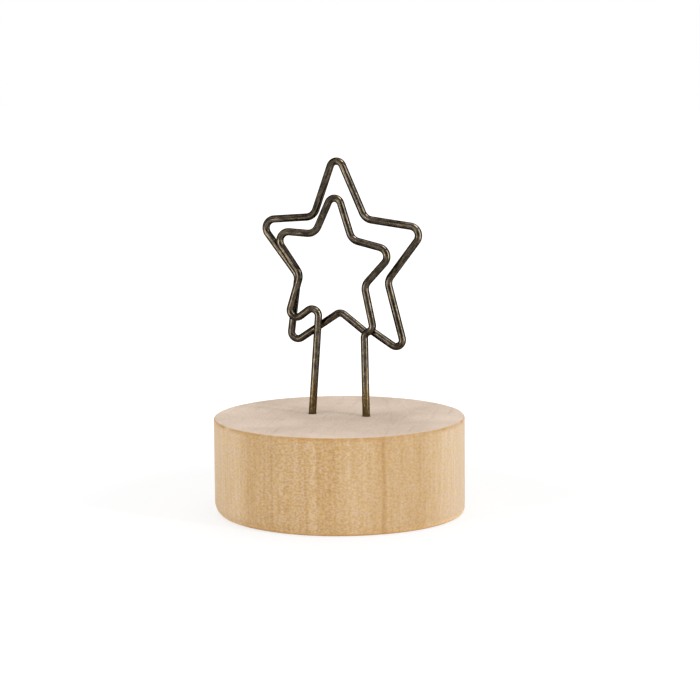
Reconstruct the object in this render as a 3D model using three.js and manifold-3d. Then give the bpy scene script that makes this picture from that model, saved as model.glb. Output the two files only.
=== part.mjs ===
// Wire clip card holder: a wood disc that carries two bent wire stars, the small one in front.
// A card slides in between the stars from above. Millimetres, +Z up, the stars face -Y.
// The origin is on the disc's axis, at its underside.
import * as THREE from 'three';
import { mergeVertices } from 'three/addons/utils/BufferGeometryUtils.js';
import Module from 'manifold-3d';

const wasm = await Module();
wasm.setup();

// Wood disc
const BASE_DIAMETER = 50;
const BASE_HEIGHT = 19.2;
const BASE_FOOT_ROUND = 1.5; // round of the lower edge
const BASE_RIM_ROUND = 0.35; // eased upper edge
const HOLE_FLOOR = 7.2; // wood left under each drilled hole

// Row of two legs, set by eye a little off the disc's middle
const LEG_SPACING = 11.35;
const LEG_ROW_SIDE = -0.42;
const LEG_ROW_BACK = 1.2;
const LEG_MOUTH_DEPTH = 0.4; // a leg starts to lean this far below the top face
const HOLE_CLEARANCE = 0.15; // all round a leg
const LEG_END_CLEARANCE = 0.3; // under a leg's end

// Wire, with the inside radii of its bends
const WIRE_DIAMETER = 1.5;
const TIP_INSIDE_RADIUS = 0.6; // upper and lower points of a star
const SIDE_INSIDE_RADIUS = 1.1; // left and right points of a star
const NOTCH_INSIDE_RADIUS = 1.6; // between two points
const HOOK_INSIDE_RADIUS = 0.5; // small hook above the right leg

// Small front star, measured between the corners of the wire's middle line
const FRONT_STAR_WIDTH = 25.75; // left point to right point
const FRONT_STAR_HEIGHT = 29.3; // right leg's top to the top point
const FRONT_STAR_LIFT = 16.45; // right leg's top above the disc's top face

// Large rear star, measured in the same way
const REAR_STAR_WIDTH = 35.05; // left point to right point
const REAR_STAR_HEIGHT = 40.55; // lower right point to the top point
const REAR_STAR_DROP = 4.15; // lower right point below the right leg's top
const REAR_ENDS_DROP = 0.34; // where the wire's two ends meet, below the middle of the hook
const REAR_ENDS_SIDE = 0.52; // and to the left of it
const REAR_ENDS_APART = 1.13; // from one end to the other, sideways
const REAR_ENDS_STEP = 0.43; // from one end up to the other

// Welds between the two wires
const WELD_THROAT = 0.2; // metal between the wires
const WELD_CLEARANCE = 0.1; // to either wire
const WELD_FILLET = 0.2; // how far a bead shows beside a wire
const WELD_LAP = 0.7; // how far a bead laps round a wire

// Fineness of the facets
const DISC_SIDES = 96;
const HOLE_SIDES = 24;
const WIRE_SIDES = 12;
const BEND_STEP = THREE.MathUtils.degToRad(20);
const ROUND_DIVISIONS = 3;
const BEAD_SIDES = 20;
const BEAD_RINGS = 12;
const CUT_OVERRUN = 1; // a drill starts this far above the top face

const wireRadius = WIRE_DIAMETER / 2;
const wireGap = WELD_THROAT + 2 * WELD_CLEARANCE;
const frontPlane = LEG_ROW_BACK;
const rearPlane = LEG_ROW_BACK + WIRE_DIAMETER + wireGap;
const legFoot = HOLE_FLOOR + LEG_END_CLEARANCE;

// A corner of a wire: x from the middle of the leg row, height above the disc's top face,
// and inside radius of the bend.
function corner(x, height, insideRadius = 0) {
  return { x, height, insideRadius };
}

// A corner of the front star, by its shares of the star's width, from the leg row's middle,
// and of the star's height.
function frontCorner(across, up, insideRadius) {
  return corner(across * FRONT_STAR_WIDTH, FRONT_STAR_LIFT + up * FRONT_STAR_HEIGHT, insideRadius);
}

// A corner of the rear star, in the same way.
function rearCorner(across, up, insideRadius) {
  const foot = FRONT_STAR_LIFT - REAR_STAR_DROP;
  return corner(across * REAR_STAR_WIDTH, foot + up * REAR_STAR_HEIGHT, insideRadius);
}

function middle(a, b) {
  return corner((a.x + b.x) / 2, (a.height + b.height) / 2);
}

const LEFT_LEG_TOP = frontCorner(-0.154, 0.213, TIP_INSIDE_RADIUS);
const HOOK_OUTSIDE = frontCorner(0.281, 0.039, HOOK_INSIDE_RADIUS);
const RIGHT_LEG_TOP = frontCorner(0.209, 0, HOOK_INSIDE_RADIUS);
const LEFT_MOUTH = corner(-LEG_SPACING / 2, -LEG_MOUTH_DEPTH, NOTCH_INSIDE_RADIUS);
const RIGHT_MOUTH = corner(LEG_SPACING / 2, -LEG_MOUTH_DEPTH, NOTCH_INSIDE_RADIUS);

// The front wire, bent by hand, from the left leg's end round the small star to the right leg's end.
const FRONT_CORNERS = [
  corner(-LEG_SPACING / 2, legFoot - BASE_HEIGHT),
  LEFT_MOUTH,
  LEFT_LEG_TOP,
  frontCorner(-0.439, 0.024, TIP_INSIDE_RADIUS), // lower left point
  frontCorner(-0.309, 0.394, NOTCH_INSIDE_RADIUS),
  frontCorner(-0.543, 0.692, SIDE_INSIDE_RADIUS), // left point
  frontCorner(-0.187, 0.673, NOTCH_INSIDE_RADIUS),
  frontCorner(-0.016, 1, TIP_INSIDE_RADIUS), // top point
  frontCorner(0.113, 0.64, NOTCH_INSIDE_RADIUS),
  frontCorner(0.457, 0.568, SIDE_INSIDE_RADIUS), // right point
  frontCorner(0.211, 0.332, NOTCH_INSIDE_RADIUS),
  HOOK_OUTSIDE,
  RIGHT_LEG_TOP,
  RIGHT_MOUTH,
  corner(LEG_SPACING / 2, legFoot - BASE_HEIGHT),
];

const HOOK_MIDDLE = middle(HOOK_OUTSIDE, RIGHT_LEG_TOP);
const REAR_MEETING = corner(HOOK_MIDDLE.x - REAR_ENDS_SIDE, HOOK_MIDDLE.height - REAR_ENDS_DROP);
const REAR_LOWER_LEFT = rearCorner(-0.312, 0.026, TIP_INSIDE_RADIUS);
const REAR_BOTTOM_NOTCH = rearCorner(-0.005, 0.204, TIP_INSIDE_RADIUS);

// The rear wire, from one end round the large star to the other end, slightly out of line with the first.
const REAR_CORNERS = [
  corner(REAR_MEETING.x + REAR_ENDS_APART / 2, REAR_MEETING.height + REAR_ENDS_STEP / 2),
  rearCorner(0.386, 0, TIP_INSIDE_RADIUS), // lower right point
  rearCorner(0.276, 0.363, NOTCH_INSIDE_RADIUS),
  rearCorner(0.503, 0.623, SIDE_INSIDE_RADIUS), // right point
  rearCorner(0.146, 0.663, NOTCH_INSIDE_RADIUS),
  rearCorner(-0.026, 1, TIP_INSIDE_RADIUS), // top point
  rearCorner(-0.162, 0.669, NOTCH_INSIDE_RADIUS),
  rearCorner(-0.497, 0.647, SIDE_INSIDE_RADIUS), // left point
  rearCorner(-0.259, 0.377, NOTCH_INSIDE_RADIUS),
  REAR_LOWER_LEFT,
  REAR_BOTTOM_NOTCH,
  corner(REAR_MEETING.x - REAR_ENDS_APART / 2, REAR_MEETING.height - REAR_ENDS_STEP / 2),
];

// A place in the part's frame, from a corner and the plane that its wire lies in.
function place({ x, height }, plane) {
  return new THREE.Vector3(LEG_ROW_SIDE + x, plane, BASE_HEIGHT + height);
}

// The middle line of a bent wire, as stations: the two ends of each straight run, and steps along each bend.
class BentLine extends THREE.Curve {
  constructor(stations) {
    super();
    this.stations = stations;
  }

  get steps() {
    return this.stations.length - 1;
  }

  getUtoTmapping(u) {
    return u;
  }

  getPoint(t, target = new THREE.Vector3()) {
    return target.copy(this.stations[Math.round(t * this.steps)].point);
  }

  getTangent(t, target = new THREE.Vector3()) {
    return target.copy(this.stations[Math.round(t * this.steps)].tangent);
  }
}

// Stations along one bend, an arc that touches both straight runs beside the corner.
function bendStations(before, at, after, radius) {
  const into = at.clone().sub(before).normalize();
  const out = after.clone().sub(at).normalize();
  const turn = into.angleTo(out);
  const axis = into.clone().cross(out).normalize();
  const start = at.clone().addScaledVector(into, -radius * Math.tan(turn / 2));
  const spoke = axis.clone().cross(into).multiplyScalar(-radius);
  const centre = start.clone().sub(spoke);
  const steps = Math.ceil(turn / BEND_STEP);
  return Array.from({ length: steps + 1 }, (_, step) => {
    const angle = (turn * step) / steps;
    return {
      point: centre.clone().add(spoke.clone().applyAxisAngle(axis, angle)),
      tangent: into.clone().applyAxisAngle(axis, angle),
    };
  });
}

// The middle line through a wire's corners, with both ends made longer by `extra`.
function bentLine(corners, plane, extra) {
  const points = corners.map((item) => place(item, plane));
  const last = points.length - 1;
  const startWay = points[1].clone().sub(points[0]).normalize();
  const endWay = points[last].clone().sub(points[last - 1]).normalize();
  const stations = [{ point: points[0].clone().addScaledVector(startWay, -extra), tangent: startWay }];
  for (let i = 1; i < last; i += 1) {
    const radius = corners[i].insideRadius + wireRadius;
    stations.push(...bendStations(points[i - 1], points[i], points[i + 1], radius));
  }
  stations.push({ point: points[last].clone().addScaledVector(endWay, extra), tangent: endWay });
  return new BentLine(stations);
}

// A round wire through its corners, or with a clearance, the space that it needs.
function wireGeometry(corners, plane, clearance = 0) {
  const radius = wireRadius + clearance;
  const rim = Array.from({ length: WIRE_SIDES }, (_, side) => {
    const angle = (2 * Math.PI * side) / WIRE_SIDES;
    return new THREE.Vector2(radius * Math.cos(angle), radius * Math.sin(angle));
  });
  const section = new THREE.Shape(rim);
  const line = bentLine(corners, plane, clearance);
  return new THREE.ExtrudeGeometry(section, { steps: line.steps, extrudePath: line });
}

// A closed solid for cutting, from a geometry's positions with its shared vertices merged.
function toSolid(geometry) {
  const bare = geometry.clone();
  bare.deleteAttribute('normal');
  bare.deleteAttribute('uv');
  const merged = mergeVertices(bare);
  const corners = merged.index.array;
  const triangles = [];
  for (let i = 0; i < corners.length; i += 3) {
    const [a, b, c] = corners.slice(i, i + 3);
    if (a !== b && b !== c && c !== a) {
      triangles.push(a, b, c);
    }
  }
  const mesh = new wasm.Mesh({
    numProp: 3,
    vertProperties: new Float32Array(merged.attributes.position.array),
    triVerts: new Uint32Array(triangles),
  });
  return new wasm.Manifold(mesh);
}

function toGeometry(solid) {
  const mesh = solid.getMesh();
  const geometry = new THREE.BufferGeometry();
  geometry.setAttribute('position', new THREE.BufferAttribute(mesh.vertProperties, 3));
  geometry.setIndex(new THREE.BufferAttribute(mesh.triVerts, 1));
  geometry.computeVertexNormals();
  return geometry;
}

// Pale wood, sawn across and sanded.
function paleWood() {
  return new THREE.MeshStandardMaterial({ color: '#cca878', roughness: 0.75, metalness: 0 });
}

// Steel wire with a dark antique bronze finish.
function antiqueBronze() {
  return new THREE.MeshStandardMaterial({ color: '#3d3428', roughness: 0.42, metalness: 0.9 });
}

// Weld metal under the same finish, browner and duller.
function weldMetal() {
  return new THREE.MeshStandardMaterial({ color: '#4f3f2e', roughness: 0.6, metalness: 0.8 });
}

// One drilled hole, round a leg and open at the top face.
function legHole(mouth) {
  const radius = wireRadius + HOLE_CLEARANCE;
  const length = BASE_HEIGHT - HOLE_FLOOR + CUT_OVERRUN;
  const drill = new THREE.CylinderGeometry(radius, radius, length, HOLE_SIDES);
  const foot = place(mouth, frontPlane);
  drill.rotateX(Math.PI / 2);
  drill.translate(foot.x, foot.y, HOLE_FLOOR + length / 2);
  return drill;
}

function woodBase() {
  const radius = BASE_DIAMETER / 2;
  const half = new THREE.Path();
  half.moveTo(0, 0);
  half.lineTo(radius - BASE_FOOT_ROUND, 0);
  half.absarc(radius - BASE_FOOT_ROUND, BASE_FOOT_ROUND, BASE_FOOT_ROUND, -Math.PI / 2, 0);
  half.lineTo(radius, BASE_HEIGHT - BASE_RIM_ROUND);
  half.absarc(radius - BASE_RIM_ROUND, BASE_HEIGHT - BASE_RIM_ROUND, BASE_RIM_ROUND, 0, Math.PI / 2);
  half.lineTo(0, BASE_HEIGHT);
  const disc = new THREE.LatheGeometry(half.getPoints(ROUND_DIVISIONS), DISC_SIDES);
  disc.rotateX(Math.PI / 2);
  const drilled = toSolid(disc)
    .subtract(toSolid(legHole(LEFT_MOUTH)))
    .subtract(toSolid(legHole(RIGHT_MOUTH)));
  const mesh = new THREE.Mesh(toGeometry(drilled), paleWood());
  mesh.name = 'wood_base';
  return mesh;
}

function starWire(name, corners, plane) {
  const mesh = new THREE.Mesh(wireGeometry(corners, plane), antiqueBronze());
  mesh.name = name;
  return mesh;
}

// Where two straight runs cross, seen from the front.
function crossing(a, b, c, d) {
  const run = { x: b.x - a.x, height: b.height - a.height };
  const other = { x: d.x - c.x, height: d.height - c.height };
  const across = run.x * other.height - run.height * other.x;
  const share = ((c.x - a.x) * other.height - (c.height - a.height) * other.x) / across;
  return corner(a.x + share * run.x, a.height + share * run.height);
}

// A bead of weld metal between the two wires, hollowed by both of them.
function weld(name, spot) {
  const spread = wireRadius + WELD_FILLET;
  const depth = wireGap / 2 + WELD_LAP;
  const bead = new THREE.SphereGeometry(1, BEAD_SIDES, BEAD_RINGS);
  bead.scale(spread, depth, spread);
  const at = place(spot, (frontPlane + rearPlane) / 2);
  bead.translate(at.x, at.y, at.z);
  const shaped = toSolid(bead)
    .subtract(toSolid(wireGeometry(FRONT_CORNERS, frontPlane, WELD_CLEARANCE)))
    .subtract(toSolid(wireGeometry(REAR_CORNERS, rearPlane, WELD_CLEARANCE)));
  const mesh = new THREE.Mesh(toGeometry(shaped), weldMetal());
  mesh.name = name;
  return mesh;
}

const leftSpot = crossing(LEFT_MOUTH, LEFT_LEG_TOP, REAR_LOWER_LEFT, REAR_BOTTOM_NOTCH);
const rightSpot = middle(HOOK_MIDDLE, REAR_MEETING);

const cardHolder = new THREE.Group();
cardHolder.add(woodBase());
cardHolder.add(starWire('front_star_wire', FRONT_CORNERS, frontPlane));
cardHolder.add(starWire('rear_star_wire', REAR_CORNERS, rearPlane));
cardHolder.add(weld('left_weld', leftSpot));
cardHolder.add(weld('right_weld', rightSpot));

export default cardHolder;
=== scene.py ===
import math
import random

import bmesh
import bpy
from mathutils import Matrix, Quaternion, Vector, noise


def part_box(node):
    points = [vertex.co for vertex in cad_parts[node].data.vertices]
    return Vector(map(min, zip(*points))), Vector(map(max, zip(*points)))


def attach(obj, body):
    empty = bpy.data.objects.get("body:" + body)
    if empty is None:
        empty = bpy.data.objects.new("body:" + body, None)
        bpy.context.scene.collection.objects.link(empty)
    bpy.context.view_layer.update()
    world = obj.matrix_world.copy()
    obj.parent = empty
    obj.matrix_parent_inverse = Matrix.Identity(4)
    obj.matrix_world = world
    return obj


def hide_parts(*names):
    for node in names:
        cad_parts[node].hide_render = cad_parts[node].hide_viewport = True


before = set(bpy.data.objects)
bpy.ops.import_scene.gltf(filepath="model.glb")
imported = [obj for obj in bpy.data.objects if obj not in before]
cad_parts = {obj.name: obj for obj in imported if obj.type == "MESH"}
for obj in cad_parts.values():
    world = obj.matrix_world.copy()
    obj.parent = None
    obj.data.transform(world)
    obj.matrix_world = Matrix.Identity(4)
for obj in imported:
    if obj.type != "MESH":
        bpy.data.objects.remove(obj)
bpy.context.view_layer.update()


# Camera
# A long lens a little above the disc's top face, turned 18 degrees to the right of the stars' own front.
# Its place and focal length were fitted to the two rims of the disc.
MM = 0.001  # one millimetre, in metres
VIEW_AZIMUTH = math.radians(18)
VIEW_PITCH = math.radians(8.292)
VIEW_ROLL = math.radians(-0.425)
VIEW_DISTANCE = 490.7 * MM
AIM_SIDE = 2.23 * MM  # aim point, to the right of the disc's axis
AIM_HEIGHT = 32.46 * MM
FOCAL_PIXELS = 2470.4  # focal length, in pixels of the square image
IMAGE_PIXELS = 700
SENSOR_WIDTH = 36
NEAR_CLIP = 10 * MM

view_right = Vector((math.cos(VIEW_AZIMUTH), math.sin(VIEW_AZIMUTH), 0))
view_back = Vector((
    math.sin(VIEW_AZIMUTH) * math.cos(VIEW_PITCH),
    -math.cos(VIEW_AZIMUTH) * math.cos(VIEW_PITCH),
    math.sin(VIEW_PITCH),
))
aim = view_right * AIM_SIDE + Vector((0, 0, AIM_HEIGHT))

lens = bpy.data.cameras.new("camera")
lens.sensor_width = SENSOR_WIDTH
lens.lens = SENSOR_WIDTH * FOCAL_PIXELS / IMAGE_PIXELS
lens.clip_start = NEAR_CLIP
camera = bpy.data.objects.new("camera", lens)
camera.location = aim + view_back * VIEW_DISTANCE
camera.rotation_mode = "QUATERNION"
camera.rotation_quaternion = (-view_back).to_track_quat("-Z", "Y") @ Quaternion((0, 0, 1), VIEW_ROLL)
bpy.context.scene.collection.objects.link(camera)
bpy.context.scene.camera = camera
bpy.context.scene.view_settings.view_transform = "Standard"


# Studio
# A pale table in a white room, with an upright softbox on either side of the camera and one overhead.
# The camera, metal and gloss see white all round; the table keeps a soft shadow of the object.
ROOM_FILL = 0.6  # light of the white room on matt surfaces
TABLE_HALF = 1.6
TABLE_DROP = 0.02 * MM  # table top below the disc's underside
TABLE_BOUNCE = "#f4f4f4"
TABLE_SEEN = 0.3  # how much of the table's own shading the camera sees
TABLE_GLOW = 0.73  # the rest of the way to white, round the disc
SHADOW_REACH = (0.05, 0.15)  # from the disc's axis: here the shadow starts and ends its fade to white
WHITE = "#ffffff"


def linear(hex_colour):
    """An sRGB hex value as linear red, green, blue and a full alpha."""
    parts = [int(hex_colour[i:i + 2], 16) / 255 for i in (1, 3, 5)]
    return (*[c / 12.92 if c <= 0.04045 else ((c + 0.055) / 1.055) ** 2.4 for c in parts], 1)


def add(tree, kind, inputs=None, stops=(), **settings):
    """A new node with its settings, its ramp's stops and its inputs.

    An input is a value, a socket, or a node, which stands for its first output.
    """
    made = tree.nodes.new(kind)
    for name, value in settings.items():
        setattr(made, name, value)
    for number, (place, colour) in enumerate(stops):
        ramp = made.color_ramp.elements
        stop = ramp[number] if number < 2 else ramp.new(place)
        stop.position = place
        stop.color = colour
    for name, value in (inputs or {}).items():
        source = value.outputs[0] if isinstance(value, bpy.types.Node) else value
        if isinstance(source, bpy.types.NodeSocket):
            tree.links.new(source, made.inputs[name])
        else:
            made.inputs[name].default_value = source
    return made


def seen_directly(tree):
    """1 for rays from the camera, from gloss and through glass, 0 for the rest."""
    path = add(tree, "ShaderNodeLightPath").outputs
    seen = path["Is Camera Ray"]
    for kind in ("Is Glossy Ray", "Is Transmission Ray"):
        seen = add(tree, "ShaderNodeMath", {0: seen, 1: path[kind]}, operation="MAXIMUM")
    return seen


world = bpy.data.worlds.new("white room")
world.use_nodes = True
bpy.context.scene.world = world
room = world.node_tree
room.nodes.clear()
fill = add(room, "ShaderNodeBackground", {"Color": linear(WHITE), "Strength": ROOM_FILL})
backdrop = add(room, "ShaderNodeBackground", {"Color": linear(WHITE), "Strength": 1})
shown = add(room, "ShaderNodeMixShader", {0: seen_directly(room), 1: fill, 2: backdrop})
add(room, "ShaderNodeOutputWorld", {"Surface": shown})

table_paint = bpy.data.materials.new("white table paint")
table_paint.use_nodes = True
paint = table_paint.node_tree
paint.nodes.clear()
bounce = add(paint, "ShaderNodeBsdfDiffuse", {"Color": linear(TABLE_BOUNCE)})
shading = add(paint, "ShaderNodeBsdfDiffuse", {"Color": (TABLE_SEEN, TABLE_SEEN, TABLE_SEEN, 1)})
table_place = add(paint, "ShaderNodeTexCoord").outputs["Object"]
far_off = add(paint, "ShaderNodeVectorMath", {0: table_place}, operation="LENGTH").outputs["Value"]
fade = {
    "Value": far_off,
    "From Min": SHADOW_REACH[0],
    "From Max": SHADOW_REACH[1],
    "To Min": TABLE_GLOW,
    "To Max": 1,
}
glow = add(paint, "ShaderNodeEmission", {"Strength": add(paint, "ShaderNodeMapRange", fade)})
seen = add(paint, "ShaderNodeAddShader", {0: shading, 1: glow})
surface = add(paint, "ShaderNodeMixShader", {0: seen_directly(paint), 1: bounce, 2: seen})
add(paint, "ShaderNodeOutputMaterial", {"Surface": surface})

sheet = bpy.data.meshes.new("table")
sheet.from_pydata(
    [(x * TABLE_HALF, y * TABLE_HALF, -TABLE_DROP) for x, y in ((-1, -1), (1, -1), (1, 1), (-1, 1))],
    [],
    [(0, 1, 2, 3)],
)
sheet.materials.append(table_paint)
table = bpy.data.objects.new("table", sheet)
bpy.context.scene.collection.objects.link(table)


def softbox(name, bearing, height, distance, width, tall, brightness, tint=WHITE, matt=True, shiny=True):
    """A lamp with an even face, aimed at the stars.

    Its bearing is in degrees from the camera, plus to the right. Its sizes and places are in metres.
    """
    lamp = bpy.data.lights.new(name, "AREA")
    lamp.shape = "RECTANGLE"
    lamp.size = width
    lamp.size_y = tall
    lamp.energy = brightness * math.pi * width * tall
    lamp.color = linear(tint)[:3]
    angle = VIEW_AZIMUTH + math.radians(bearing)
    stand = bpy.data.objects.new(name, lamp)
    stand.location = Vector((math.sin(angle) * distance, -math.cos(angle) * distance, height))
    stand.rotation_euler = (aim - stand.location).to_track_quat("-Z", "Y").to_euler()
    stand.visible_camera = False
    stand.visible_diffuse = matt
    stand.visible_glossy = shiny
    bpy.context.scene.collection.objects.link(stand)


softbox("right softbox", 53, 0.26, 0.62, 0.05, 0.14, 60, shiny=False)
softbox("left softbox", -50, 0.22, 0.62, 0.07, 0.14, 32, shiny=False)
softbox("overhead softbox", 150, 0.75, 0.10, 0.50, 0.50, 1.4)

# Reflectors close by, which only shiny metal shows, draw the long light lines on the wire.
COOL = "#f0f6ff"  # a slightly blue white
softbox("right reflector", 60, 0.066, 0.13, 0.06, 0.13, 8, COOL, matt=False)
softbox("left reflector", -56, 0.027, 0.12, 0.05, 0.04, 7, matt=False)
softbox("high reflector", 75, 0.34, 0.16, 0.16, 0.13, 14, COOL, matt=False)
softbox("front reflector", -25, 0.08, 0.20, 0.042, 0.035, 8, COOL, matt=False)

# The black front of the camera draws a dark line down the wire, between its lights.
CAMERA_FRONT_DISTANCE = 0.46
CAMERA_FRONT_WIDTH = 0.23
CAMERA_FRONT_TALL = 0.17
BLACK = "#0c0c0c"

rubber = bpy.data.materials.new("black rubber")
rubber.use_nodes = True
rubber.node_tree.nodes["Principled BSDF"].inputs["Base Color"].default_value = linear(BLACK)
view_up = view_back.cross(view_right)
hood_mesh = bpy.data.meshes.new("camera front")
hood_mesh.from_pydata(
    [
        aim
        + view_back * CAMERA_FRONT_DISTANCE
        + view_right * (i * CAMERA_FRONT_WIDTH / 2)
        + view_up * (j * CAMERA_FRONT_TALL / 2)
        for i, j in ((-1, -1), (1, -1), (1, 1), (-1, 1))
    ],
    [],
    [(0, 1, 2, 3)],
)
hood_mesh.materials.append(rubber)
hood = bpy.data.objects.new("camera front", hood_mesh)
hood.visible_camera = False
hood.visible_diffuse = False
hood.visible_shadow = False
bpy.context.scene.collection.objects.link(hood)


# Wood disc
# A slice sawn across a pale hardwood bar, beech or a like wood, turned, sanded and left bare.
# Its lower edge is well rounded, its upper edge only eased, with small chips. Two holes take the legs.
_, disc_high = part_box("wood_base")
DISC_RADIUS = disc_high.x
DISC_HEIGHT = disc_high.z
FOOT_ROUND = 1.35 * MM
FOOT_LEAN = 0.5 * MM  # the sander took more off on the camera's left, and less on its right
FOOT_SPREAD = 0.2 * MM
FOOT_TALL = 1.4  # height of the rounding for its depth
FOOT_WANDER = 1.5  # how fast the rounding wavers round the disc
RIM_EASE = 0.34 * MM
RIM_SPREAD = 0.18 * MM
RIM_WANDER = 3
UNDERSIDE_RING = 0.5  # share of the radius
DISC_CREASE = math.radians(35)  # edges sharper than this aren't smoothed over
DISC_SIDES = 720
FOOT_STEPS = 8
SIDE_STEPS = 8
RIM_STEPS = 5
TOP_RINGS = 8
CHIP_COUNT = 16
CHIP_SEED = 7
CHIP_WIDTH = (0.5 * MM, 1.6 * MM)
CHIP_DEPTH = (0.05 * MM, 0.2 * MM)
LEG_SPACING = 11.35 * MM
LEG_ROW_SIDE = -0.42 * MM
LEG_ROW_BACK = 1.2 * MM
HOLE_RADIUS = 0.9 * MM
HOLE_FLOOR = 7.2 * MM
HOLE_SIDES = 40

chip_draw = random.Random(CHIP_SEED)
chips = [
    (chip_draw.uniform(0, 2 * math.pi), chip_draw.uniform(*CHIP_WIDTH), chip_draw.uniform(*CHIP_DEPTH))
    for _ in range(CHIP_COUNT)
]


def rim_ease(angle):
    """How far the upper edge is eased at an angle round the disc, chips included."""
    wander = noise.noise(Vector((RIM_WANDER * math.cos(angle), RIM_WANDER * math.sin(angle), 0)))
    ease = RIM_EASE + RIM_SPREAD * wander
    for at, width, depth in chips:
        off = abs((angle - at + math.pi) % (2 * math.pi) - math.pi) * DISC_RADIUS
        ease += depth * max(0, 1 - (2 * off / width) ** 2)
    return ease


def disc_profile(angle):
    """Radius and height along the disc's section at an angle, from the underside to the top face."""
    ease = rim_ease(angle)
    heading = Vector((math.cos(angle), math.sin(angle), 0))
    wander = noise.noise(heading * FOOT_WANDER)
    foot = FOOT_ROUND - FOOT_LEAN * heading.dot(view_right) + FOOT_SPREAD * wander
    foot_top = FOOT_TALL * foot
    points = [(DISC_RADIUS * UNDERSIDE_RING, 0)]
    for step in range(FOOT_STEPS + 1):
        turn = math.pi / 2 * step / FOOT_STEPS
        points.append((DISC_RADIUS - foot * (1 - math.sin(turn)), foot_top * (1 - math.cos(turn))))
    for step in range(1, SIDE_STEPS):
        share = step / SIDE_STEPS
        points.append((DISC_RADIUS, foot_top + share * (DISC_HEIGHT - ease - foot_top)))
    for step in range(RIM_STEPS + 1):
        turn = math.pi / 2 * step / RIM_STEPS
        radius = DISC_RADIUS - ease * (1 - math.cos(turn))
        points.append((radius, DISC_HEIGHT - ease * (1 - math.sin(turn))))
    for ring in range(1, TOP_RINGS):
        points.append(((DISC_RADIUS - ease) * (1 - ring / TOP_RINGS), DISC_HEIGHT))
    return points


body = bmesh.new()
columns = []
for side in range(DISC_SIDES):
    angle = 2 * math.pi * side / DISC_SIDES
    outline = [(r * math.cos(angle), r * math.sin(angle), z) for r, z in disc_profile(angle)]
    columns.append([body.verts.new(point) for point in outline])
underside = body.verts.new((0, 0, 0))
crown = body.verts.new((0, 0, DISC_HEIGHT))
for side in range(DISC_SIDES):
    here = columns[side]
    beside = columns[(side + 1) % DISC_SIDES]
    body.faces.new((underside, beside[0], here[0]))
    body.faces.new((crown, here[-1], beside[-1]))
    for low in range(len(here) - 1):
        body.faces.new((here[low], beside[low], beside[low + 1], here[low + 1]))
bmesh.ops.recalc_face_normals(body, faces=body.faces)
disc_mesh = bpy.data.meshes.new("disc")
body.to_mesh(disc_mesh)
body.free()
disc = bpy.data.objects.new("turned_disc", disc_mesh)
bpy.context.scene.collection.objects.link(disc)

drills = []
for way in (-1, 1):
    bit = bmesh.new()
    bmesh.ops.create_cone(
        bit,
        cap_ends=True,
        segments=HOLE_SIDES,
        radius1=HOLE_RADIUS,
        radius2=HOLE_RADIUS,
        depth=DISC_HEIGHT,
    )
    middle = Vector((LEG_ROW_SIDE + way * LEG_SPACING / 2, LEG_ROW_BACK, HOLE_FLOOR + DISC_HEIGHT / 2))
    bmesh.ops.translate(bit, verts=bit.verts, vec=middle)
    bit_mesh = bpy.data.meshes.new("drill")
    bit.to_mesh(bit_mesh)
    bit.free()
    drill = bpy.data.objects.new("drill", bit_mesh)
    bpy.context.scene.collection.objects.link(drill)
    drills.append(drill)
    cut = disc.modifiers.new("leg hole", "BOOLEAN")
    cut.operation = "DIFFERENCE"
    cut.solver = "EXACT"
    cut.object = drill


def settle(obj):
    """Turns what an object's modifiers make into its own plain mesh, and takes the modifiers off."""
    plain = bpy.data.meshes.new_from_object(obj.evaluated_get(bpy.context.evaluated_depsgraph_get()))
    obj.modifiers.clear()
    obj.data = plain


settle(disc)
for drill in drills:
    bpy.data.objects.remove(drill)
for face in disc.data.polygons:
    face.use_smooth = True
disc.data.set_sharp_from_angle(angle=DISC_CREASE)

# Sanded beech, bare: side grain runs up and down the disc, end grain shows on its two flat faces.
# It gives the eye upright bands, fibres and ray flecks, a paler matt top with pores, and a warm worn rim;
# part of the top's paleness is a painted sheen.
# Fibres, pores and flecks are drawn coarser than real ones, so that they show.
# The growth rings run away from the camera. Sizes are in millimetres, tones from 0 dark to 1 pale.
PITH_DISTANCE = 130
RING_SPAN = 25
# Painted sheen: the tones rise to pale at both ends of the list, most on the right, where the side turns
# away; there they are partly paler wood, partly a painted white sheen of the limbs.
RING_TONES_AND_LIMB_SHEEN = [  # place across the disc, from the camera's left to its right, and tone
    (-25, 0.74), (-18.5, 0.69), (-18, 0.62), (-17.3, 0.61), (-16.4, 0.50), (-11.5, 0.51),
    (-11.1, 0.40), (-10.7, 0.53), (-4.5, 0.53), (-4.1, 0.42), (-3.7, 0.56), (-2.2, 0.58),
    (-1.6, 0.46), (2, 0.47), (4.5, 0.58), (7.5, 0.57), (10, 0.50), (10.5, 0.28),
    (11.1, 0.52), (14.5, 0.55), (16.8, 0.51), (19, 0.62), (22, 0.78), (25, 0.86),
]
FLECK_STRENGTHS = [(-25, 0.08), (-18, 0.1), (-12, 0.14), (-5, 0.18), (1, 0.16), (6, 0.12), (25, 0.08)]
WOOD_PATTERNS = {  # size across, across and up the disc, and how many finer layers
    "sway": ((9, 9, 45), 2),
    "fibres": ((0.6, 0.6, 12), 4),
    "flecks": ((0.5, 0.5, 0.36), 2),
    "golden": ((0.42, 0.42, 0.6), 2),
    "pores": ((0.35, 0.35, 4), 3),
    "clouds": ((9, 9, 30), 2),
    "rim wear": ((2.5, 2.5, 6), 3),
}
RING_SWAY = 0.9
SCUFF_SIZE = (1.0, 11, 30)
SCUFF_TURN = math.radians(12) - VIEW_AZIMUTH
SIDE_DARK = "#ad8354"
SIDE_MID = "#c8a782"
SIDE_LIGHT = "#d7bca1"
SIDE_PALE = "#e9d5ca"
FIBRE_GOLD = "#fff8cf"
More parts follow.
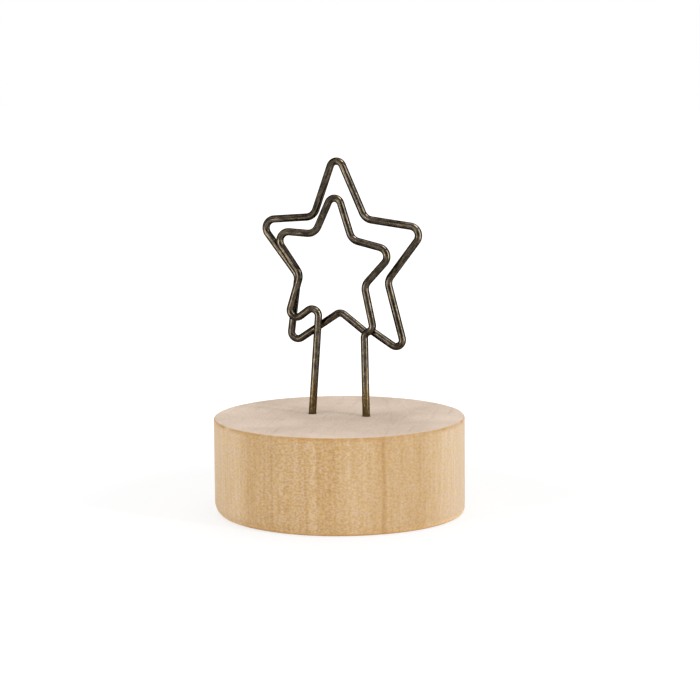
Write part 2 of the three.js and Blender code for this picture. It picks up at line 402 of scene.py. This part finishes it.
# Painted sheen: both end-grain colours are paler and greyer than the bare wood, for the white that the low
# top face reflects.
END_DARK_WITH_SHEEN = "#aa917a"
END_LIGHT_WITH_SHEEN = "#ead6c4"
RIM_BURN = "#bc8a4a"
FOOT_PAINTED_LIGHT = "#8c8869"  # painted light: how much the foot's round is dodged paler, against the shade the table throws there
RINGS_ON_END = 0.3  # share of the rings' tones that shows on end grain
END_ROUGHER = 0.3  # how much rougher end grain is than the side
PORE_DEPTH = 0.6  # share of the pores in the relief, beside the fibres
GREY_PATCH_SIDE = 8  # a grey patch on the top face, to the right of the disc's axis
GREY_PATCH_FRONT = 10  # and towards the camera
GREY_PATCH_REACH = (4, 16)  # full up to the first distance, gone at the second
GREY_PATCH_TONE = -0.2

beech = bpy.data.materials.new("sanded beech")
beech.use_nodes = True
grain = beech.node_tree
grain.nodes.clear()
own_place = add(grain, "ShaderNodeTexCoord").outputs["Object"]
place = add(grain, "ShaderNodeVectorMath", {0: own_place, "Scale": 1 / MM}, operation="SCALE")
level = add(grain, "ShaderNodeVectorMath", {0: place, 1: (1, 1, 0)}, operation="MULTIPLY")
height = add(grain, "ShaderNodeSeparateXYZ", {0: place}).outputs["Z"]
from_axis = add(grain, "ShaderNodeVectorMath", {0: level}, operation="LENGTH").outputs["Value"]
wood = {}
for name, (size, detail) in WOOD_PATTERNS.items():
    cells = add(grain, "ShaderNodeVectorMath", {0: place, 1: size}, operation="DIVIDE")
    wood[name] = add(grain, "ShaderNodeTexNoise", {"Vector": cells, "Scale": 1, "Detail": detail})
scuff_place = add(
    grain, "ShaderNodeVectorRotate", {"Vector": place, "Angle": SCUFF_TURN}, rotation_type="Z_AXIS"
)
cells = add(grain, "ShaderNodeVectorMath", {0: scuff_place, 1: SCUFF_SIZE}, operation="DIVIDE")
wood["scuffs"] = add(grain, "ShaderNodeTexNoise", {"Vector": cells, "Scale": 1, "Detail": 3})

pith = view_right * -PITH_DISTANCE
from_pith = add(grain, "ShaderNodeVectorMath", {0: level, 1: pith}, operation="DISTANCE").outputs["Value"]
sway = add(grain, "ShaderNodeMapRange", {"Value": wood["sway"], "To Min": -RING_SWAY, "To Max": RING_SWAY})
swayed = add(grain, "ShaderNodeMath", {0: from_pith, 1: sway}, operation="ADD")
across = add(
    grain,
    "ShaderNodeMapRange",
    {"Value": swayed, "From Min": PITH_DISTANCE - RING_SPAN, "From Max": PITH_DISTANCE + RING_SPAN},
)
ring_and_limb_tone, fleck_strength = [
    add(
        grain,
        "ShaderNodeValToRGB",
        {"Fac": across},
        stops=[((at + RING_SPAN) / (2 * RING_SPAN), (tone, tone, tone, 1)) for at, tone in tones],
    )
    for tones in (RING_TONES_AND_LIMB_SHEEN, FLECK_STRENGTHS)
]

# Each mark: what it reads, from where to where, and the tones or shares that it gives there.
marks = {}
for name, source, low, high, to_low, to_high in (
    ("fibres", wood["fibres"], 0.3, 0.7, -0.075, 0.075),
    ("flecks", wood["flecks"], 0.3, 0.62, -1.3, 0.6),
    ("golden", wood["golden"], 0.3, 0.7, 0, 1),
    ("pores", wood["pores"], 0.3, 0.7, -0.22, 0.12),
    ("clouds", wood["clouds"], 0.3, 0.7, 0.5, 0.78),
    ("scuffs", wood["scuffs"], 0.58, 0.74, 0, -0.19),
    ("rim wear", wood["rim wear"], 0.3, 0.7, 0.1, 0.55),
    ("rim", height, DISC_HEIGHT / MM - 1.0, DISC_HEIGHT / MM - 0.3, 0, 1),
    ("edge", height, DISC_HEIGHT / MM - 0.5, DISC_HEIGHT / MM - 0.2, 0, 0.5),
    ("foot", height, 0.6, 0.15, 0, 1.3),
    ("painted foot light", height, 1.3, 0.2, 0, 1),
    ("top face", height, DISC_HEIGHT / MM - 0.12, DISC_HEIGHT / MM - 0.02, 0, 1),
    ("inside the rim", from_axis, DISC_RADIUS / MM - 0.12, DISC_RADIUS / MM - 0.3, 0, 1),
    ("underside", height, 0.12, 0.03, 0, 1),
    ("gloss", wood["fibres"], 0.3, 0.7, 0.5, 0.64),
):
    ends = {"Value": source, "From Min": low, "From Max": high, "To Min": to_low, "To Max": to_high}
    marks[name] = add(grain, "ShaderNodeMapRange", ends)

flecked = add(
    grain, "ShaderNodeMath", {0: marks["flecks"], 1: fleck_strength, 2: ring_and_limb_tone}, operation="MULTIPLY_ADD"
)
side_tone = add(grain, "ShaderNodeMath", {0: flecked, 1: marks["fibres"]}, operation="ADD")
side_colour = add(
    grain,
    "ShaderNodeValToRGB",
    {"Fac": side_tone},
    stops=[
        (0.05, linear(SIDE_DARK)),
        (0.45, linear(SIDE_MID)),
        (0.68, linear(SIDE_LIGHT)),
        (1, linear(SIDE_PALE)),
    ],
)
fibre_colour = add(
    grain,
    "ShaderNodeMix",
    {0: marks["golden"], 6: side_colour, 7: linear(FIBRE_GOLD)},
    data_type="RGBA",
    blend_type="MULTIPLY",
).outputs[2]
upper_edge = add(grain, "ShaderNodeMath", {0: marks["rim"], 1: marks["edge"]}, operation="ADD")
edges = add(grain, "ShaderNodeMath", {0: upper_edge, 1: marks["foot"]}, operation="MAXIMUM")
worn_rim = add(
    grain, "ShaderNodeMath", {0: edges, 1: marks["rim wear"]}, operation="MULTIPLY", use_clamp=True
)
warm_side = add(
    grain, "ShaderNodeMix", {0: worn_rim, 6: fibre_colour, 7: linear(RIM_BURN)}, data_type="RGBA"
).outputs[2]
# Painted light: the foot's round is dodged paler, so that the shade under it stays light.
side_with_foot_light = add(
    grain,
    "ShaderNodeMix",
    {0: marks["painted foot light"], 6: warm_side, 7: linear(FOOT_PAINTED_LIGHT)},
    data_type="RGBA",
    blend_type="DODGE",
).outputs[2]

# End grain: clouds, faint rings, pores, a grey patch in front of the legs.
towards_camera = Vector((math.sin(VIEW_AZIMUTH), -math.cos(VIEW_AZIMUTH), 0))
grey_patch_middle = view_right * GREY_PATCH_SIDE + towards_camera * GREY_PATCH_FRONT
from_grey_patch = add(grain, "ShaderNodeVectorMath", {0: level, 1: grey_patch_middle}, operation="DISTANCE")
grey_patched = add(
    grain,
    "ShaderNodeMapRange",
    {
        "Value": from_grey_patch.outputs["Value"],
        "From Min": GREY_PATCH_REACH[0],
        "From Max": GREY_PATCH_REACH[1],
        "To Min": GREY_PATCH_TONE,
        "To Max": 0,
    },
)
end_tone = add(
    grain, "ShaderNodeMath", {0: ring_and_limb_tone, 1: RINGS_ON_END, 2: marks["clouds"]}, operation="MULTIPLY_ADD"
)
for mark in (marks["pores"], marks["scuffs"], grey_patched):
    end_tone = add(grain, "ShaderNodeMath", {0: end_tone, 1: mark}, operation="ADD")
# Painted sheen: the end grain's colour also carries the top face's white reflection.
end_colour_with_sheen = add(
    grain, "ShaderNodeValToRGB", {"Fac": end_tone}, stops=[(0, linear(END_DARK_WITH_SHEEN)), (1, linear(END_LIGHT_WITH_SHEEN))]
)
top_face = add(
    grain, "ShaderNodeMath", {0: marks["top face"], 1: marks["inside the rim"]}, operation="MULTIPLY"
)
end_face = add(grain, "ShaderNodeMath", {0: top_face, 1: marks["underside"]}, operation="MAXIMUM")
wood_colour = add(
    grain, "ShaderNodeMix", {0: end_face, 6: side_with_foot_light, 7: end_colour_with_sheen}, data_type="RGBA"
).outputs[2]
gloss = add(
    grain, "ShaderNodeMath", {0: end_face, 1: END_ROUGHER, 2: marks["gloss"]}, operation="MULTIPLY_ADD"
)
roughened = add(
    grain, "ShaderNodeMath", {0: wood["pores"], 1: PORE_DEPTH, 2: wood["fibres"]}, operation="MULTIPLY_ADD"
)
relief = add(grain, "ShaderNodeBump", {"Strength": 0.3, "Distance": 0.04 * MM, "Height": roughened})
skin = add(
    grain,
    "ShaderNodeBsdfPrincipled",
    {
        "Base Color": wood_colour,
        "Roughness": gloss,
        "IOR": 1.5,
        "Specular IOR Level": 0.08,
        "Sheen Weight": 0.02,
        "Sheen Roughness": 0.6,
        "Normal": relief,
    },
)
add(grain, "ShaderNodeOutputMaterial", {"Surface": skin})

disc.data.materials.clear()
disc.data.materials.append(beech)
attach(disc, "stand")
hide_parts("wood_base")


# Front wire
# One length of steel wire, bent by hand into the small star. Both ends run down as legs into the disc.
# It is plated dark antique bronze after bending, and the rub of handling brings out gold on the bends.
front_low, front_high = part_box("front_star_wire")
FRONT_PLANE = (front_low.y + front_high.y) / 2
WIRE_RADIUS = (front_high.y - front_low.y) / 2
LEG_FOOT = front_low.z
LEG_MOUTH_DEPTH = 0.4 * MM
TIP_BEND = 0.6 * MM + WIRE_RADIUS  # radius of a bend, at the wire's middle line
SIDE_BEND = 1.1 * MM + WIRE_RADIUS
NOTCH_BEND = 1.6 * MM + WIRE_RADIUS
HOOK_BEND = 0.5 * MM + WIRE_RADIUS
FRONT_STAR_WIDTH = 25.75 * MM
FRONT_STAR_HEIGHT = 29.3 * MM
FRONT_STAR_LIFT = 16.45 * MM
WIRE_STEP = 0.2 * MM
WIRE_SIDES = 20
BEND_STEPS = 12
CUT_END = 0.86  # width of a cut end, where the cutter rounds it over
OUTER_GAIN = -3  # a point's lean to the inside of a bend, times this, is its wear, from 0 to 1
WIRE_CREASE = math.radians(40)


def front_corner(across, up, bend):
    """A corner of the small star, by its shares of the star's width and height, and its bend's radius."""
    return (across * FRONT_STAR_WIDTH, FRONT_STAR_LIFT + up * FRONT_STAR_HEIGHT, bend)


HOOK_OUTSIDE = front_corner(0.281, 0.039, HOOK_BEND)
RIGHT_LEG_TOP = front_corner(0.209, 0, HOOK_BEND)
front_corners = [
    (-LEG_SPACING / 2, LEG_FOOT - DISC_HEIGHT, 0),
    (-LEG_SPACING / 2, -LEG_MOUTH_DEPTH, NOTCH_BEND),
    front_corner(-0.154, 0.213, TIP_BEND),
    front_corner(-0.439, 0.024, TIP_BEND),
    front_corner(-0.309, 0.394, NOTCH_BEND),
    front_corner(-0.543, 0.692, SIDE_BEND),
    front_corner(-0.187, 0.673, NOTCH_BEND),
    front_corner(-0.016, 1, TIP_BEND),
    front_corner(0.113, 0.64, NOTCH_BEND),
    front_corner(0.457, 0.568, SIDE_BEND),
    front_corner(0.211, 0.332, NOTCH_BEND),
    HOOK_OUTSIDE,
    RIGHT_LEG_TOP,
    (LEG_SPACING / 2, -LEG_MOUTH_DEPTH, NOTCH_BEND),
    (LEG_SPACING / 2, LEG_FOOT - DISC_HEIGHT, 0),
]

# Antique bronze plating over steel wire, tumbled and waxed.
# It gives the eye a near black brown with lines drawn along the wire, gold specks where it is rubbed,
# and clear lights. A dark tint on its reflections at grazing angles keeps the outline dark.
# The lines and specks are coarser than real ones, so that they show.
BRONZE_BLACK = "#231f1a"
BRONZE_BROWN = "#3e3830"
BRONZE_MID = "#5b5247"
BRONZE_GOLD = "#937a47"
GRAZING_TINT = "#383838"
BEND_RUB = 0.08  # how much more the outside of a bend is rubbed
GOLD_ROUGHER = 0.3  # how much rougher the rubbed gold is
LEG_GOLD_HEIGHT = 11 * MM  # more gold on the legs over this height above the disc
PLATING_PATTERNS = {  # size across, across and along the wire in millimetres, and how many finer layers
    "drawn": ((0.25, 0.25, 5), 3),
    "blotch": ((0.7, 0.7, 1.6), 3),
    "speck": ((0.28, 0.28, 0.5), 2),
}

bronze = bpy.data.materials.new("antique bronze plating")
bronze.use_nodes = True
patina = bronze.node_tree
patina.nodes.clear()
straight = add(patina, "ShaderNodeAttribute", attribute_name="straight").outputs["Vector"]
bend_wear = add(patina, "ShaderNodeAttribute", attribute_name="outer_bend").outputs["Fac"]
wire_place = add(patina, "ShaderNodeVectorMath", {0: straight, "Scale": 1 / MM}, operation="SCALE")
film = {}
for name, (size, detail) in PLATING_PATTERNS.items():
    cells = add(patina, "ShaderNodeVectorMath", {0: wire_place, 1: size}, operation="DIVIDE")
    film[name] = add(patina, "ShaderNodeTexNoise", {"Vector": cells, "Scale": 1, "Detail": detail})
streaked = add(patina, "ShaderNodeMath", {0: film["drawn"], 1: film["blotch"]}, operation="ADD")
mean_film = add(patina, "ShaderNodeMath", {0: streaked, 1: 0.5}, operation="MULTIPLY")
brown = add(
    patina,
    "ShaderNodeValToRGB",
    {"Fac": mean_film},
    stops=[(0.38, linear(BRONZE_BLACK)), (0.5, linear(BRONZE_BROWN)), (0.62, linear(BRONZE_MID))],
)
worn = add(
    patina, "ShaderNodeMath", {0: bend_wear, 1: BEND_RUB, 2: film["speck"]}, operation="MULTIPLY_ADD"
)
specks = add(
    patina,
    "ShaderNodeMapRange",
    {"Value": worn, "From Min": 0.56, "From Max": 0.69, "To Min": 0, "To Max": 0.3},
)
bent_place = add(patina, "ShaderNodeTexCoord").outputs["Object"]
wire_height = add(patina, "ShaderNodeSeparateXYZ", {0: bent_place}).outputs["Z"]
low_on_the_legs = add(
    patina,
    "ShaderNodeMapRange",
    {
        "Value": wire_height,
        "From Min": DISC_HEIGHT + LEG_GOLD_HEIGHT,
        "From Max": DISC_HEIGHT,
        "To Min": 0,
        "To Max": 0.6,
    },
    interpolation_type="SMOOTHSTEP",
)
gold = add(patina, "ShaderNodeMath", {0: low_on_the_legs, 1: film["speck"], 2: specks}, operation="MULTIPLY_ADD")
bronze_colour = add(
    patina, "ShaderNodeMix", {0: gold, 6: brown, 7: linear(BRONZE_GOLD)}, data_type="RGBA"
).outputs[2]
dulled = add(
    patina,
    "ShaderNodeMapRange",
    {"Value": film["blotch"], "From Min": 0.3, "From Max": 0.7, "To Min": 0.07, "To Max": 0.18},
)
rubbed = add(patina, "ShaderNodeMath", {0: gold, 1: GOLD_ROUGHER, 2: dulled}, operation="MULTIPLY_ADD")
grooves = add(patina, "ShaderNodeMath", {0: film["speck"], 1: film["drawn"]}, operation="ADD")
pits = add(patina, "ShaderNodeBump", {"Strength": 0.1, "Distance": 0.02 * MM, "Height": grooves})
plating = add(
    patina,
    "ShaderNodeBsdfPrincipled",
    {
        "Base Color": bronze_colour,
        "Metallic": 1,
        "Roughness": rubbed,
        "Specular Tint": linear(GRAZING_TINT),
        "Normal": pits,
    },
)
add(patina, "ShaderNodeOutputMaterial", {"Surface": plating})

# The rule of a bent wire: a line through its corners, an arc at each corner, a round section along it.
# It keeps each point's place on the straightened wire, and how far it lies on the outside of a bend.
bent = bpy.data.node_groups.new("bent wire", "GeometryNodeTree")
bent_sockets = {
    name: bent.interface.new_socket(name, in_out="INPUT", socket_type=kind)
    for name, kind in (
        ("Corners", "NodeSocketGeometry"),
        ("Wire radius", "NodeSocketFloat"),
        ("Step along", "NodeSocketFloat"),
        ("Sides", "NodeSocketInt"),
        ("Finish", "NodeSocketMaterial"),
    )
}
bent.interface.new_socket("Wire", in_out="OUTPUT", socket_type="NodeSocketGeometry")
given = add(bent, "NodeGroupInput").outputs
line = add(bent, "GeometryNodeMeshToCurve", {"Mesh": given["Corners"]})
kept = {
    name: add(bent, "GeometryNodeInputNamedAttribute", {"Name": name}, data_type=kind)
    for name, kind in (
        ("bend", "FLOAT"),
        ("run", "FLOAT"),
        ("turning", "FLOAT_VECTOR"),
        ("section", "FLOAT_VECTOR"),
    )
}
rounding = {"Curve": line, "Count": BEND_STEPS, "Radius": kept["bend"]}
rounded = add(bent, "GeometryNodeFilletCurve", rounding, mode="POLY")
stepping = {"Curve": rounded, "Length": given["Step along"]}
stepped = add(bent, "GeometryNodeResampleCurve", stepping, mode="LENGTH")
tangent = add(bent, "GeometryNodeInputTangent")
ways = []
for step in (1, -1):
    neighbour = add(bent, "GeometryNodeOffsetPointInCurve", {"Offset": step}).outputs["Point Index"]
    there = {"Value": tangent, "Index": neighbour}
    ways.append(add(bent, "GeometryNodeFieldAtIndex", there, data_type="FLOAT_VECTOR"))
turning = add(bent, "ShaderNodeVectorMath", {0: ways[0], 1: ways[1]}, operation="SUBTRACT")
run = add(bent, "GeometryNodeSplineParameter").outputs["Length"]
path = stepped
for name, value, kind in (("run", run, "FLOAT"), ("turning", turning, "FLOAT_VECTOR")):
    keeping = {"Geometry": path, "Name": name, "Value": value}
    path = add(bent, "GeometryNodeStoreNamedAttribute", keeping, data_type=kind)
ring_size = {"Resolution": given["Sides"], "Radius": given["Wire radius"]}
circle = add(bent, "GeometryNodeCurvePrimitiveCircle", ring_size)
keeping = {"Geometry": circle, "Name": "section", "Value": add(bent, "GeometryNodeInputPosition")}
section = add(bent, "GeometryNodeStoreNamedAttribute", keeping, data_type="FLOAT_VECTOR")
cut_end = add(bent, "GeometryNodeCurveEndpointSelection", {"Start Size": 1, "End Size": 1})
width = add(bent, "ShaderNodeMath", {0: cut_end, 1: CUT_END - 1, 2: 1}, operation="MULTIPLY_ADD")
sweep = {"Curve": path, "Profile Curve": section, "Scale": width, "Fill Caps": True}
wire = add(bent, "GeometryNodeCurveToMesh", sweep)
along = add(bent, "ShaderNodeCombineXYZ", {"Z": kept["run"]})
laid_out = add(bent, "ShaderNodeVectorMath", {0: kept["section"], 1: along}, operation="ADD")
facing = {0: kept["turning"], 1: add(bent, "GeometryNodeInputNormal")}
inward = add(bent, "ShaderNodeVectorMath", facing, operation="DOT_PRODUCT").outputs["Value"]
outer = add(bent, "ShaderNodeMath", {0: inward, 1: OUTER_GAIN}, operation="MULTIPLY", use_clamp=True)
for name, value, kind in (("straight", laid_out, "FLOAT_VECTOR"), ("outer_bend", outer, "FLOAT")):
    keeping = {"Geometry": wire, "Name": name, "Value": value}
    wire = add(bent, "GeometryNodeStoreNamedAttribute", keeping, data_type=kind)
plain = add(bent, "GeometryNodeRealizeInstances", {"Geometry": wire})
finished = add(bent, "GeometryNodeSetMaterial", {"Geometry": plain, "Material": given["Finish"]})
add(bent, "NodeGroupOutput", {"Wire": finished})


def bend_wire(name, corners, plane):
    """A wire in an upright plane, through corners given by side place, height and bend radius."""
    skeleton = bpy.data.meshes.new(name)
    points = [(LEG_ROW_SIDE + side, plane, DISC_HEIGHT + up) for side, up, _ in corners]
    skeleton.from_pydata(points, [(i, i + 1) for i in range(len(points) - 1)], [])
    bends = skeleton.attributes.new("bend", "FLOAT", "POINT")
    bends.data.foreach_set("value", [bend for _, _, bend in corners])
    wire = bpy.data.objects.new(name, skeleton)
    bpy.context.scene.collection.objects.link(wire)
    rule = wire.modifiers.new("bent wire", "NODES")
    rule.node_group = bent
    sizes = {"Wire radius": WIRE_RADIUS, "Step along": WIRE_STEP, "Sides": WIRE_SIDES, "Finish": bronze}
    for socket, value in sizes.items():
        rule[bent_sockets[socket].identifier] = value
    settle(wire)
    for spent in kept:
        wire.data.attributes.remove(wire.data.attributes[spent])
    for face in wire.data.polygons:
        face.use_smooth = True
    wire.data.set_sharp_from_angle(angle=WIRE_CREASE)
    return wire


front_wire = bend_wire("front_star", front_corners, FRONT_PLANE)
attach(front_wire, "stand")
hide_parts("front_star_wire")


# Rear wire
# A second length of the same wire, bent into the large star. Its two ends meet behind the small star's
# hook, a little out of line. Two welds hold it to the front wire, and it springs back when pushed open.
rear_low, rear_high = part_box("rear_star_wire")
REAR_PLANE = (rear_low.y + rear_high.y) / 2
REAR_STAR_WIDTH = 35.05 * MM
REAR_STAR_HEIGHT = 40.55 * MM
REAR_STAR_DROP = 4.15 * MM
REAR_ENDS_DROP = 0.34 * MM
REAR_ENDS_SIDE = 0.52 * MM
REAR_ENDS_APART = 1.13 * MM
REAR_ENDS_STEP = 0.43 * MM


def rear_corner(across, up, bend):
    """A corner of the large star, in the same way as the small one's."""
    return (across * REAR_STAR_WIDTH, FRONT_STAR_LIFT - REAR_STAR_DROP + up * REAR_STAR_HEIGHT, bend)


meeting_side = (HOOK_OUTSIDE[0] + RIGHT_LEG_TOP[0]) / 2 - REAR_ENDS_SIDE
meeting_height = (HOOK_OUTSIDE[1] + RIGHT_LEG_TOP[1]) / 2 - REAR_ENDS_DROP
rear_corners = [
    (meeting_side + REAR_ENDS_APART / 2, meeting_height + REAR_ENDS_STEP / 2, 0),
    rear_corner(0.386, 0, TIP_BEND),
    rear_corner(0.276, 0.363, NOTCH_BEND),
    rear_corner(0.503, 0.623, SIDE_BEND),
    rear_corner(0.146, 0.663, NOTCH_BEND),
    rear_corner(-0.026, 1, TIP_BEND),
    rear_corner(-0.162, 0.669, NOTCH_BEND),
    rear_corner(-0.497, 0.647, SIDE_BEND),
    rear_corner(-0.259, 0.377, NOTCH_BEND),
    rear_corner(-0.312, 0.026, TIP_BEND),
    rear_corner(-0.005, 0.204, TIP_BEND),
    (meeting_side - REAR_ENDS_APART / 2, meeting_height - REAR_ENDS_STEP / 2, 0),
]
rear_wire = bend_wire("rear_star", rear_corners, REAR_PLANE)
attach(rear_wire, "rear_star")
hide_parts("rear_star_wire")


# Welds
# Two small beads of weld metal between the wires, on the left leg and on the hook, plated with the rest.
# The plating takes badly on the rough bead, so it is browner and duller than the wire.
WELD_DARK = "#241e18"
WELD_BROWN = "#4d4030"
BEAD_SHARE = 0.8  # of the bare bead's reach, before the lumps are added
BEAD_LUMP = 0.16 * MM
BEAD_LUMP_SIZE = 0.8 * MM
BEAD_DIVISIONS = 4
WELD_GRAIN = 0.4 * MM

dull = bpy.data.materials.new("plated weld metal")
dull.use_nodes = True
crust = dull.node_tree
crust.nodes.clear()
weld_place = add(crust, "ShaderNodeTexCoord").outputs["Object"]
cells = add(crust, "ShaderNodeVectorMath", {0: weld_place, "Scale": 1 / WELD_GRAIN}, operation="SCALE")
scale_marks = add(crust, "ShaderNodeTexNoise", {"Vector": cells, "Scale": 1, "Detail": 4})
weld_colour = add(
    crust,
    "ShaderNodeValToRGB",
    {"Fac": scale_marks},
    stops=[(0.35, linear(WELD_DARK)), (0.65, linear(WELD_BROWN))],
)
ripple = add(crust, "ShaderNodeBump", {"Strength": 0.5, "Distance": 0.05 * MM, "Height": scale_marks})
weld_metal = add(
    crust,
    "ShaderNodeBsdfPrincipled",
    {
        "Base Color": weld_colour,
        "Metallic": 1,
        "Roughness": 0.45,
        "Specular Tint": linear(GRAZING_TINT),
        "Normal": ripple,
    },
)
add(crust, "ShaderNodeOutputMaterial", {"Surface": weld_metal})

for node in ("left_weld", "right_weld"):
    bead_low, bead_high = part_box(node)
    middle = (bead_low + bead_high) / 2
    reach = (bead_high - bead_low) / 2 * BEAD_SHARE
    bead = bmesh.new()
    bmesh.ops.create_icosphere(bead, subdivisions=BEAD_DIVISIONS, radius=1)
    for vert in bead.verts:
        way = vert.co.normalized()
        spot = middle + Vector(a * b for a, b in zip(way, reach))
        vert.co = spot + way * BEAD_LUMP * noise.noise(spot / BEAD_LUMP_SIZE)
    for face in bead.faces:
        face.smooth = True
    bead_mesh = bpy.data.meshes.new(node)
    bead.to_mesh(bead_mesh)
    bead.free()
    bead_mesh.materials.append(dull)
    piece = bpy.data.objects.new(node + "_bead", bead_mesh)
    bpy.context.scene.collection.objects.link(piece)
    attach(piece, "stand")
    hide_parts(node)
